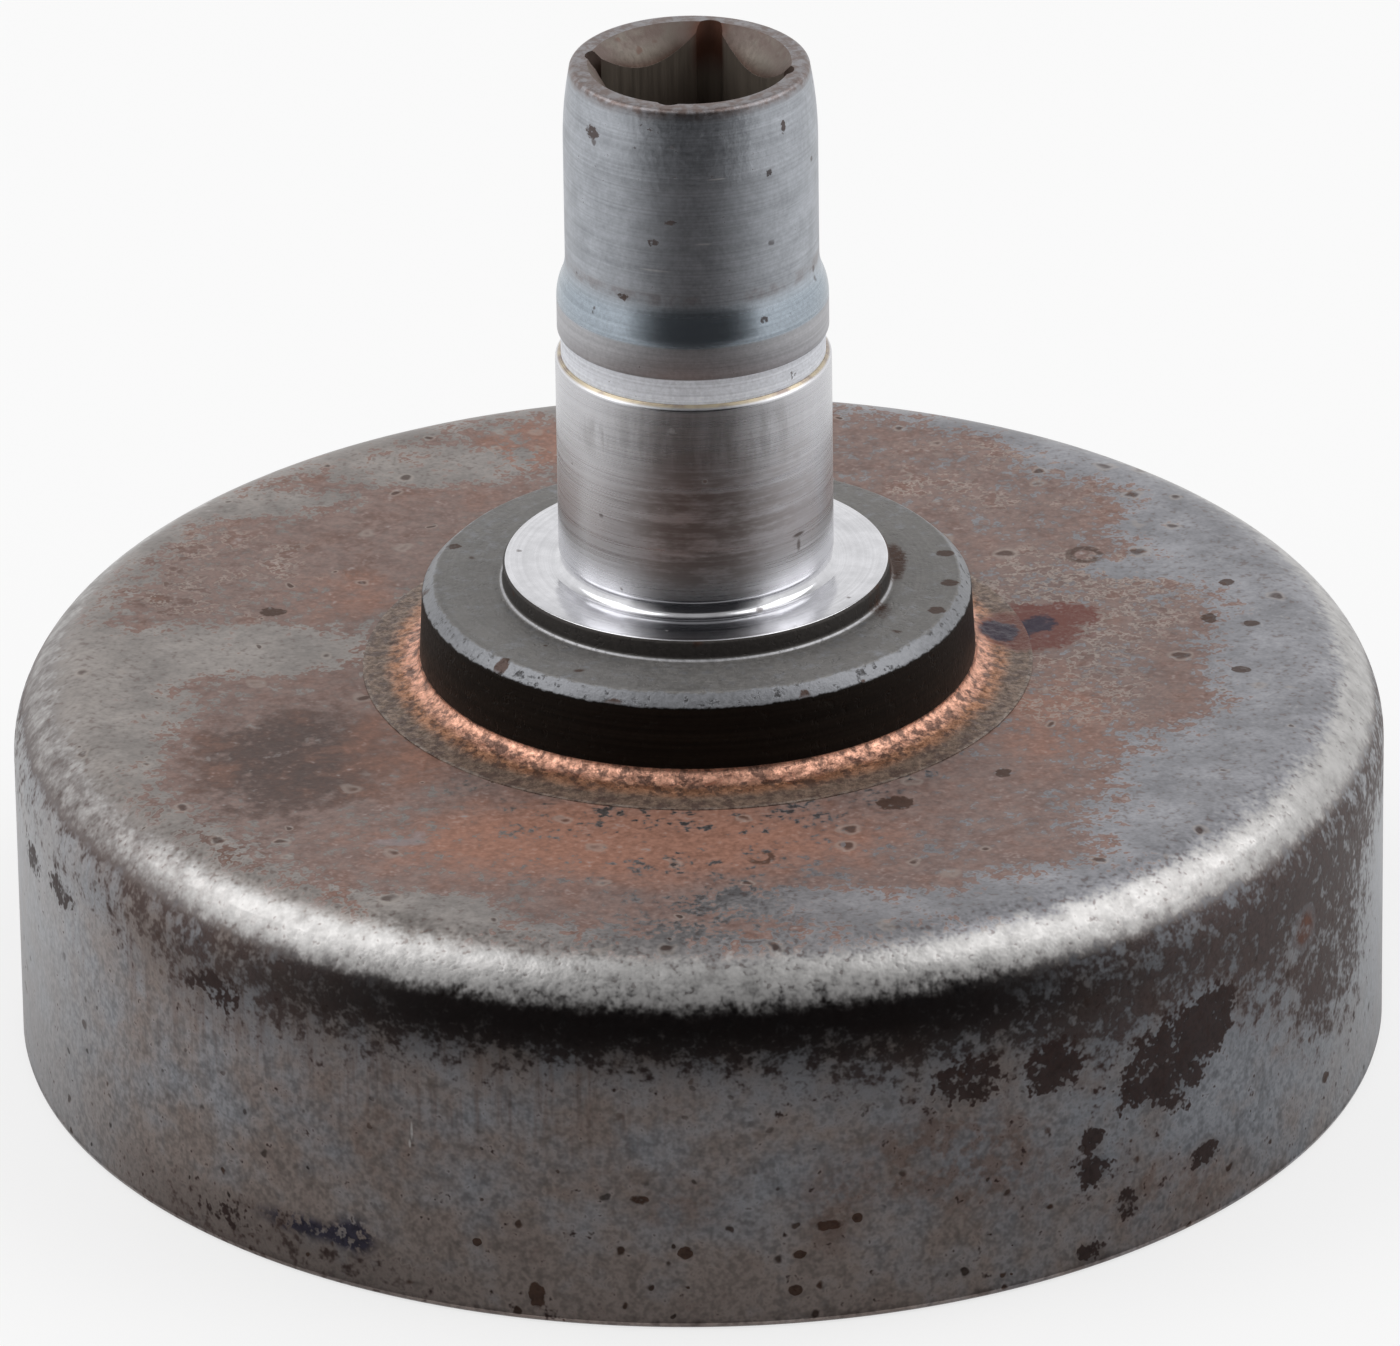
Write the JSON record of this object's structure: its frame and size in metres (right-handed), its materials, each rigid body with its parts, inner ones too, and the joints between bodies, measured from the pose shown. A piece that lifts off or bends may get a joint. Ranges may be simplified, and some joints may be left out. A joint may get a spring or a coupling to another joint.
{
  "type": "clutch drum",
  "caption": "Small-engine clutch drum: a drawn steel cup with a copper-brazed turned hub that carries a bearing seat, a retaining-ring groove and a square drive socket.",
  "frame": {"origin": "on the drum axis, in the plane of the open rim", "axes": "+Z along the drum axis from the open rim to the tip of the hub; X and Y square to the flats of the drive socket"},
  "size_m": [0.06, 0.06, 0.0456],
  "materials": {
    "cup_steel": "drawn sheet steel, furnace stained and spotted with rust",
    "hub_steel": "turned steel, ground on the bearing seat and its shoulder",
    "braze_copper": "run copper braze, grainy"
  },
  "bodies": {
    "root": {"drum_cup": "cup_steel", "hub_shaft": "hub_steel", "braze_ring": "braze_copper"}
  },
  "joints": []
}
